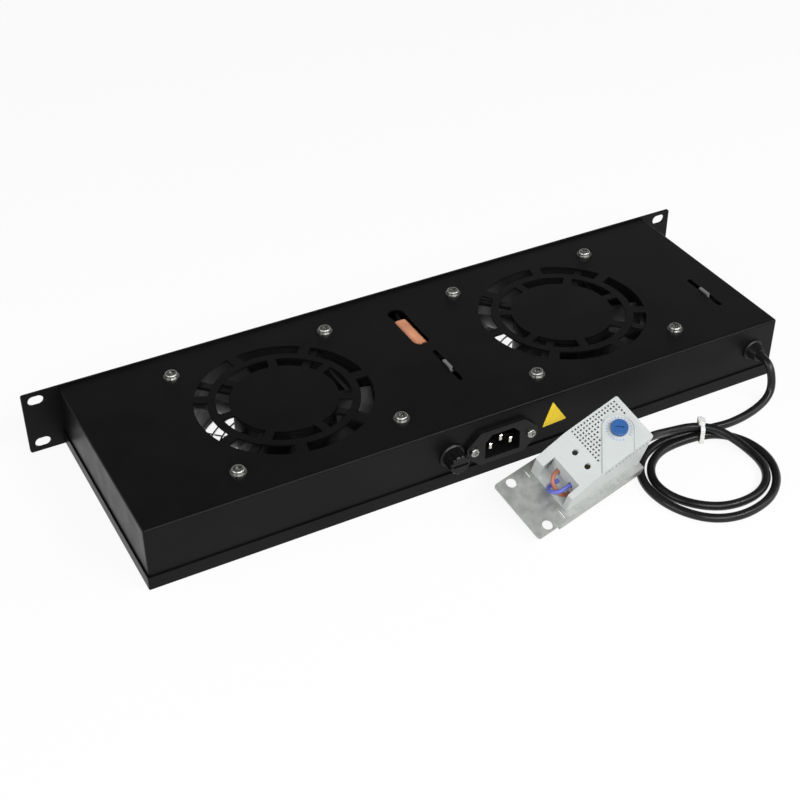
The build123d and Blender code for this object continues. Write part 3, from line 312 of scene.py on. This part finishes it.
def coloured_plastic(name, color, rough=0.35):
    f = Finish(name, color, rough)
    f.tones(f.noise(240, 4), 0.9, 1.12)
    f.polish(f.noise(600, 3), rough - 0.06, rough + 0.08)
    f.bumps((f.noise(1500, 2), 0.01))
    return f.material


def brass():
    f = Finish("brass_clamp", (0.6, 0.43, 0.17), 0.3, metal=1.0)
    f.tones(f.noise(400), 0.8, 1.1)
    f.polish(f.noise(500), 0.24, 0.42)
    return f.material


def fuse_glass():
    f = Finish("fuse_glass", (0.8, 0.82, 0.82), 0.08)
    f.shader.inputs["Transmission Weight"].default_value = 0.7
    f.polish(f.noise(300), 0.05, 0.12)
    return f.material


def sticker_yellow():
    f = Finish("sticker_yellow", (0.78, 0.56, 0.015), 0.42)
    f.tones(f.noise(200), 0.92, 1.06)
    f.polish(f.noise(400), 0.36, 0.5)
    return f.material


POWDER = powder_coat()
FAN = fan_plastic()
ZINC = zinc()
WIRE = bright_wire()
CORE = core_steel()
SOCKET = socket_plastic()
NICKEL = nickel()
SHEATH = sheath()
NYLON = nylon()
SHADED_NYLON = shaded_nylon()
SLEEVE = salmon_sleeve()
GREY = grey_plastic()
GALVANISED = galvanised()
BLUE = coloured_plastic("dial_blue", (0.018, 0.085, 0.26), 0.38)
BROWN_CORE = coloured_plastic("brown_core", (0.36, 0.12, 0.07))
BLUE_CORE = coloured_plastic("blue_core", (0.11, 0.13, 0.5))
GREEN_CORE = coloured_plastic("green_core", (0.1, 0.3, 0.05))
BRASS = brass()
GLASS = fuse_glass()
YELLOW = sticker_yellow()
PRINT_BLUE = coloured_plastic("print_blue", (0.09, 0.22, 0.55), 0.5)

DRESS = {
    "front_panel": POWDER, "top_shell": POWDER, "bottom_lid": POWDER,
    "lid_screws": ZINC, "lid_nuts": ZINC, "fan_screws": ZINC, "fan_washers": ZINC,
    "fan_nuts": ZINC, "guard_screws": ZINC, "inlet_screws": ZINC, "inlet_nuts": ZINC,
    "earth_screw": ZINC, "earth_nut": ZINC, "terminal_screws": ZINC,
    "inlet_housing": SOCKET, "fuse_holder": SOCKET, "fuse_nut": SOCKET, "fuse_cap": SOCKET,
    "cord_bushing": SOCKET, "inlet_pins": NICKEL, "fuse_contact": NICKEL, "fuse_link": GLASS,
    # The web ties wear the grey copy of the white nylon, painted shade for ties in their slits.
    "cord_tie": NYLON, "web_ties": SHADED_NYLON, "splice_sleeve": SLEEVE,
    "cord_inner": SHEATH, "supply_lead": SHEATH, "fuse_lead": BROWN_CORE, "earth_lead": GREEN_CORE,
    "rail_bracket": GALVANISED, "thermostat_base": GREY, "thermostat_cover": GREY,
    "dial_knob": BLUE, "terminal_clamps": BRASS, "bimetal_strip": BRASS,
    "wire_brown": BROWN_CORE, "wire_blue": BLUE_CORE,
}
for side in ("left", "right"):
    DRESS["fan_frame_" + side] = FAN
    DRESS["impeller_" + side] = FAN
    DRESS["fan_bearings_" + side] = ZINC
    DRESS["fan_shaft_" + side] = ZINC
    DRESS["motor_stator_" + side] = CORE
    DRESS["finger_guard_" + side] = WIRE
    DRESS["fan_lead_" + side] = SHEATH


def wear(thing, material):
    if not thing.material_slots:
        thing.data.materials.append(material)
    for held in thing.material_slots:
        held.material = material


for name, material in DRESS.items():
    wear(nodes[name], material)

wear(make_cord(), SHEATH)


# Loose pieces

def add_piece(name, mesh, material, body):
    thing = bpy.data.objects.new(name, mesh)
    bpy.context.collection.objects.link(thing)
    wear(thing, material)
    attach(thing, body)
    return thing


def bars(name, places, place, heights, material, body):
    """Flat printed marks: each a square-ended bar at a middle, with a size and a turn."""
    shape = bmesh.new()
    for x, y, length, width, angle in places:
        turn = Matrix.Rotation(angle, 4, "Z")
        seat = place @ Matrix.Translation((x, y, 0)) @ turn
        corners = []
        for a, b in ((-1, -1), (1, -1), (1, 1), (-1, 1)):
            corners.append((a * length / 2, b * width / 2))
        low = [shape.verts.new(seat @ Vector((u, v, heights[0]))) for u, v in corners]
        high = [shape.verts.new(seat @ Vector((u, v, heights[1]))) for u, v in corners]
        shape.faces.new(high)
        shape.faces.new(list(reversed(low)))
        for k in range(4):
            n = (k + 1) % 4
            shape.faces.new((low[k], low[n], high[n], high[k]))
    mesh = bpy.data.meshes.new(name)
    shape.to_mesh(mesh)
    shape.free()
    return add_piece(name, mesh, material, body)


# Thermostat: its own frame, and that of its sloping face
THERMO = (
    Matrix.Translation((-0.0704, 0.1888, 0.0025))
    @ Matrix.Rotation(math.radians(9.5), 4, "Z")
    @ Matrix.Rotation(math.radians(8.0), 4, "Y")
    @ Matrix.Rotation(math.radians(-22.0), 4, "X")
)
FACE_TILT = math.atan2(5.5, 40.0)
FACE = THERMO @ Matrix.Translation((0, 0, 0.0305)) @ Matrix.Rotation(FACE_TILT, 4, "Y")
DIAL_PLACE = (0.0132, 0.0007)
DIAL_MARK_REACH = 0.0074
DIAL_MARKS = 22
DIAL_MARK_START = 110  # degrees
DIAL_MARK_SWEEP = 320  # degrees
DIAL_MARK_WIDTH = 0.0004
LONG_MARK = 0.0013
SHORT_MARK = 0.0009
FIELD_HEIGHT = 0.00045
PRINT_HEIGHT = (FIELD_HEIGHT - 0.00005, FIELD_HEIGHT + 0.00008)


def dial_ticks():
    """Marks round the dial, on the face, longer at every third."""
    marks = []
    for k in range(DIAL_MARKS):
        angle = math.radians(DIAL_MARK_START + k * DIAL_MARK_SWEEP / (DIAL_MARKS - 1))
        length = LONG_MARK if k % 3 == 0 else SHORT_MARK
        x = DIAL_PLACE[0] + DIAL_MARK_REACH * math.cos(angle)
        y = DIAL_PLACE[1] + DIAL_MARK_REACH * math.sin(angle)
        marks.append((x, y, length, DIAL_MARK_WIDTH, angle))
    bars("dial_ticks", marks, FACE, PRINT_HEIGHT, PRINT_BLUE, "tray")


# The triangle, in millimetres: corners in x and z, then y and inset of each ring of its edge
TRIANGLE = [(-45.5, 14.9), (-38.7, -2.3), (-56.2, -1.3)]
TRIANGLE_ROUNDING = 1.2
TRIANGLE_CORNER_STEPS = 6
TRIANGLE_LEVELS = ((149.5, 0.0), (149.6, 0.0), (149.65, 0.1))


def plain_triangle():
    """A plain yellow triangle, with rounded corners, stuck on the rear wall."""
    corners = TRIANGLE
    middle = Vector((sum(c[0] for c in corners) / 3, sum(c[1] for c in corners) / 3))
    outline = []
    for k in range(3):
        here = Vector(corners[k])
        before = Vector(corners[k - 1]) - here
        after = Vector(corners[(k + 1) % 3]) - here
        a = here + before.normalized() * TRIANGLE_ROUNDING
        b = here + after.normalized() * TRIANGLE_ROUNDING
        for step in range(TRIANGLE_CORNER_STEPS + 1):
            t = step / TRIANGLE_CORNER_STEPS
            outline.append(a.lerp(here, t).lerp(here.lerp(b, t), t))
    shape = bmesh.new()
    levels = []
    for y, inset in TRIANGLE_LEVELS:
        ring = []
        for p in outline:
            q = p + (middle - p).normalized() * inset
            ring.append(shape.verts.new((q.x * MM, y * MM, q.y * MM)))
        levels.append(ring)
    count = len(outline)
    for low, high in zip(levels, levels[1:]):
        for k in range(count):
            n = (k + 1) % count
            shape.faces.new((low[k], low[n], high[n], high[k]))
    shape.faces.new(levels[-1])
    shape.faces.new(list(reversed(levels[0])))
    bmesh.ops.recalc_face_normals(shape, faces=shape.faces)
    mesh = bpy.data.meshes.new("plain_triangle")
    shape.to_mesh(mesh)
    shape.free()
    add_piece("plain_triangle", mesh, YELLOW, "tray")


dial_ticks()
plain_triangle()
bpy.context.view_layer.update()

# Studio: floor, world and lamps

FLOOR_HALF = 6.0
FLOOR_TONE = 0.8
FLOOR_GLOW = 0.9
ROOM_LIGHT = 0.16
BACKDROP_TOP = 0.34  # heights of a direction's unit vector: plain room above this one,
BACKDROP_EDGE = 0.26  # white backdrop below this one


def seen_ray(tree):
    """1 on rays that see the background itself, straight, in gloss or through glass."""
    path = tree.nodes.new("ShaderNodeLightPath")
    value = path.outputs["Is Camera Ray"]
    for other in ("Is Glossy Ray", "Is Transmission Ray"):
        larger = tree.nodes.new("ShaderNodeMath")
        larger.operation = "MAXIMUM"
        tree.links.new(value, larger.inputs[0])
        tree.links.new(path.outputs[other], larger.inputs[1])
        value = larger.outputs[0]
    return value


def studio_floor():
    mesh = bpy.data.meshes.new("floor")
    half = FLOOR_HALF
    square = ((-half, -half), (half, -half), (half, half), (-half, half))
    corners = [(x, y, FLOOR) for x, y in square]
    mesh.from_pydata(corners, [], [(0, 1, 2, 3)])
    floor = bpy.data.objects.new("floor", mesh)
    bpy.context.collection.objects.link(floor)
    material = bpy.data.materials.new("floor_white")
    material.use_nodes = True
    tree = material.node_tree
    tree.nodes.clear()
    out = tree.nodes.new("ShaderNodeOutputMaterial")
    diffuse = tree.nodes.new("ShaderNodeBsdfDiffuse")
    diffuse.inputs["Color"].default_value = (FLOOR_TONE, FLOOR_TONE, FLOOR_TONE, 1)
    glow = tree.nodes.new("ShaderNodeEmission")
    glow.inputs["Color"].default_value = (1, 1, 1, 1)
    share = tree.nodes.new("ShaderNodeMath")
    share.operation = "MULTIPLY"
    share.inputs[1].default_value = FLOOR_GLOW
    mix = tree.nodes.new("ShaderNodeMixShader")
    tree.links.new(seen_ray(tree), share.inputs[0])
    tree.links.new(share.outputs[0], mix.inputs[0])
    tree.links.new(diffuse.outputs[0], mix.inputs[1])
    tree.links.new(glow.outputs[0], mix.inputs[2])
    tree.links.new(mix.outputs[0], out.inputs["Surface"])
    mesh.materials.append(material)


def studio_world():
    """A white backdrop up to about 15 degrees, fading by 20 into a plain soft room."""
    world = bpy.data.worlds.new("studio")
    bpy.context.scene.world = world
    world.use_nodes = True
    tree = world.node_tree
    tree.nodes.clear()
    out = tree.nodes.new("ShaderNodeOutputWorld")
    ground = tree.nodes.new("ShaderNodeBackground")
    ground.inputs["Color"].default_value = (1, 1, 1, 1)
    where = tree.nodes.new("ShaderNodeTexCoord")
    parts = tree.nodes.new("ShaderNodeSeparateXYZ")
    tree.links.new(where.outputs["Generated"], parts.inputs[0])
    low = tree.nodes.new("ShaderNodeMapRange")
    low.inputs["From Min"].default_value = BACKDROP_TOP
    low.inputs["From Max"].default_value = BACKDROP_EDGE
    tree.links.new(parts.outputs["Z"], low.inputs["Value"])
    share = tree.nodes.new("ShaderNodeMath")
    share.operation = "MULTIPLY"
    tree.links.new(low.outputs[0], share.inputs[0])
    tree.links.new(seen_ray(tree), share.inputs[1])
    strength = tree.nodes.new("ShaderNodeMapRange")
    strength.inputs["To Min"].default_value = ROOM_LIGHT
    strength.inputs["To Max"].default_value = 1.0
    tree.links.new(share.outputs[0], strength.inputs["Value"])
    tree.links.new(strength.outputs[0], ground.inputs["Strength"])
    tree.links.new(ground.outputs[0], out.inputs["Surface"])


def lamp(name, place, aim, size, power):
    data = bpy.data.lights.new(name, "AREA")
    data.shape = "RECTANGLE"
    data.size = size[0]
    data.size_y = size[1]
    data.energy = power
    made = bpy.data.objects.new(name, data)
    bpy.context.collection.objects.link(made)
    made.location = place
    made.rotation_euler = (Vector(aim) - Vector(place)).to_track_quat("-Z", "Y").to_euler()


studio_floor()
studio_world()
lamp("key", (0.5, 1.9, 1.5), (0, 0.1, 0), (1.6, 1.2), 40)
lamp("fill", (1.9, 0.3, 0.9), (0.1, 0.1, 0), (1.2, 1.0), 16)
lamp("side", (-1.7, 1.0, 0.9), (-0.1, 0.1, 0), (1.0, 1.0), 7)
lamp("edge", (-0.8, 1.35, 1.33), (0, 0.15, 0.02), (1.2, 0.25), 20)

bpy.context.scene.view_settings.view_transform = "Standard"
